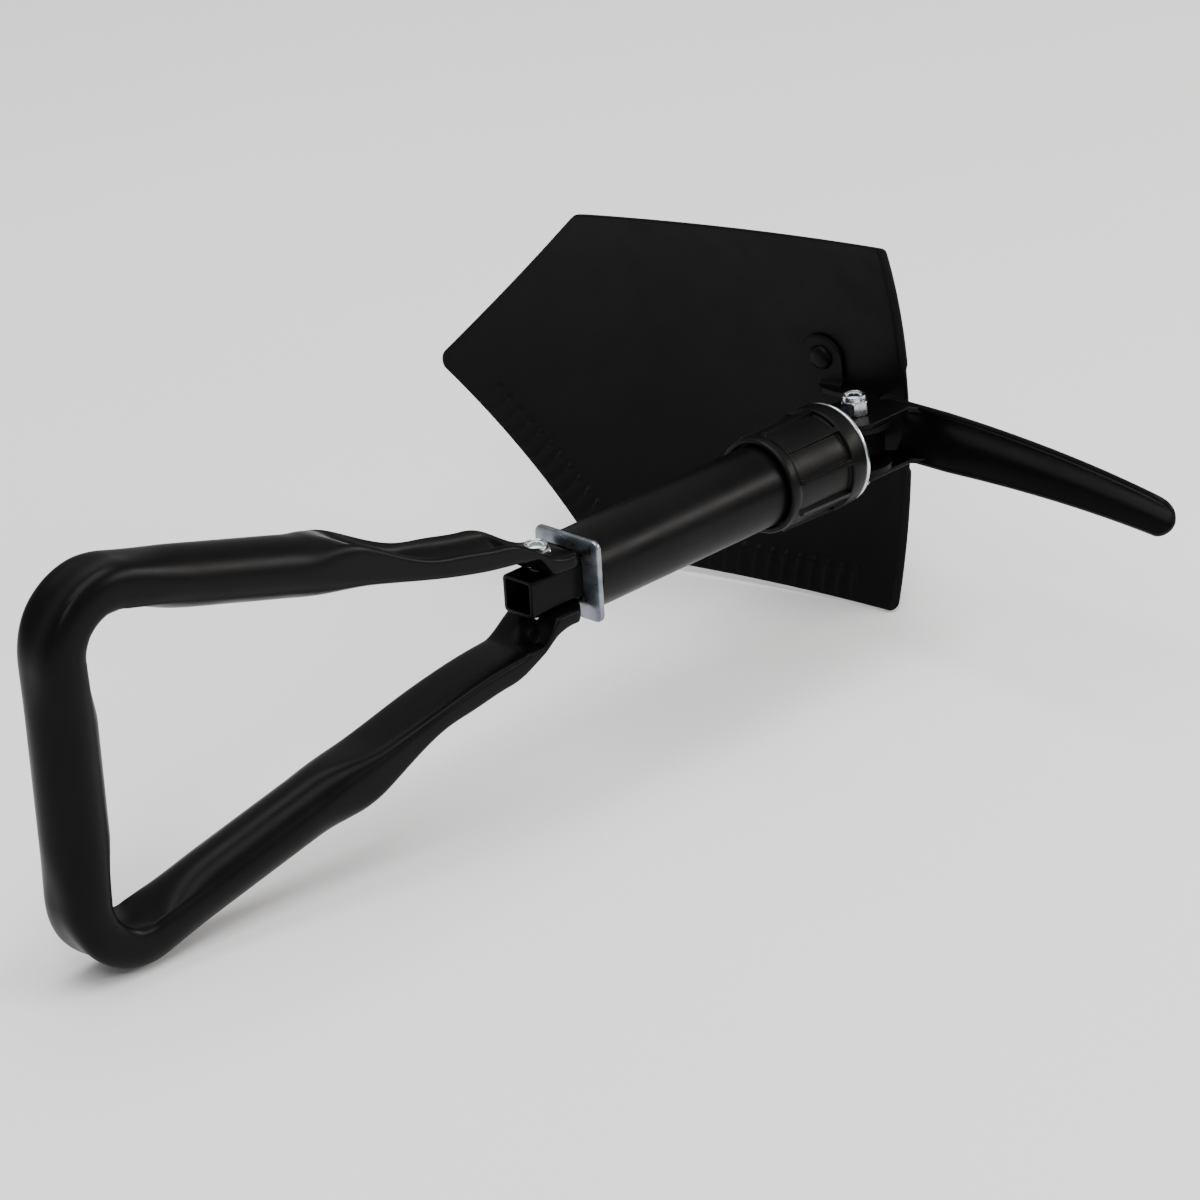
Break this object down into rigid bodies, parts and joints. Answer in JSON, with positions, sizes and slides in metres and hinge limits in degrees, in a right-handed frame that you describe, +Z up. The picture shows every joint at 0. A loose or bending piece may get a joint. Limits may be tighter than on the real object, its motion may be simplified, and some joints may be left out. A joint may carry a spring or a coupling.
{
  "type": "folding camp shovel",
  "caption": "Compact folding shovel set as a hoe: dished pointed blade, curved pick, clamping shaft with lock collar, and triangular loop handle.",
  "frame": {"origin": "middle of the footprint at its base, with the blade's lower edge and the handle's lower bend on the ground", "axes": "+X along the shaft from the handle to the head, +Y the way the blade points at rest, +Z up along both pivot bolts"},
  "size_m": [0.433, 0.3446, 0.152],
  "materials": {
    "black_steel": "satin black powder coat on steel",
    "black_blade": "semi-matt black powder coat on steel sheet",
    "black_plastic": "moulded, fine matt grain",
    "zinc_steel": "bright blue-white zinc plating",
    "nylon": "natural nylon locking ring"
  },
  "bodies": {
    "shaft": {"core_tube": "black_steel", "thrust_disc": "zinc_steel", "head_bolt": "zinc_steel", "head_washer": "zinc_steel", "head_nut": "zinc_steel", "head_nut_insert": "nylon", "handle_bolt": "zinc_steel", "handle_nut": "zinc_steel", "handle_nut_insert": "nylon"},
    "sleeve": {"sleeve_tube": "black_steel", "thread_bush": "black_plastic", "pressure_plate": "zinc_steel"},
    "collar": {"lock_collar": "black_plastic"},
    "blade": {"blade": "black_blade", "blade_bracket": "black_steel", "blade_rivets": "black_steel"},
    "pick": {"pick": "black_steel"},
    "handle": {"handle_loop": "black_steel"}
  },
  "joints": [
    {"name": "blade_fold", "type": "hinge", "parent": "shaft", "child": "blade", "pos_m": [0.18502, -0.02509, 0.07599], "axis": [0, 0, 1], "range_deg": [-13.6, 76.4]},
    {"name": "pick_fold", "type": "hinge", "parent": "shaft", "child": "pick", "pos_m": [0.18502, -0.02509, 0.07599], "axis": [0, 0, 1], "range_deg": [-86, 0]},
    {"name": "handle_fold", "type": "hinge", "parent": "shaft", "child": "handle", "pos_m": [0.00942, -0.02509, 0.07599], "axis": [0, 0, 1], "range_deg": [0, 145]},
    {"name": "collar_turn", "type": "hinge", "parent": "shaft", "child": "collar", "pos_m": [0.14602, -0.02509, 0.07599], "axis": [1, 0, 0], "range_deg": [-330.2, 30.2]},
    {"name": "sleeve_slide", "type": "slide", "parent": "shaft", "child": "sleeve", "axis": [1, 0, 0], "range_m": [-0.00025, 0.00275]}
  ],
  "couplings": [
    {"joint": "collar_turn", "follows": "sleeve_slide", "rad_per_m": -2094.4}
  ]
}
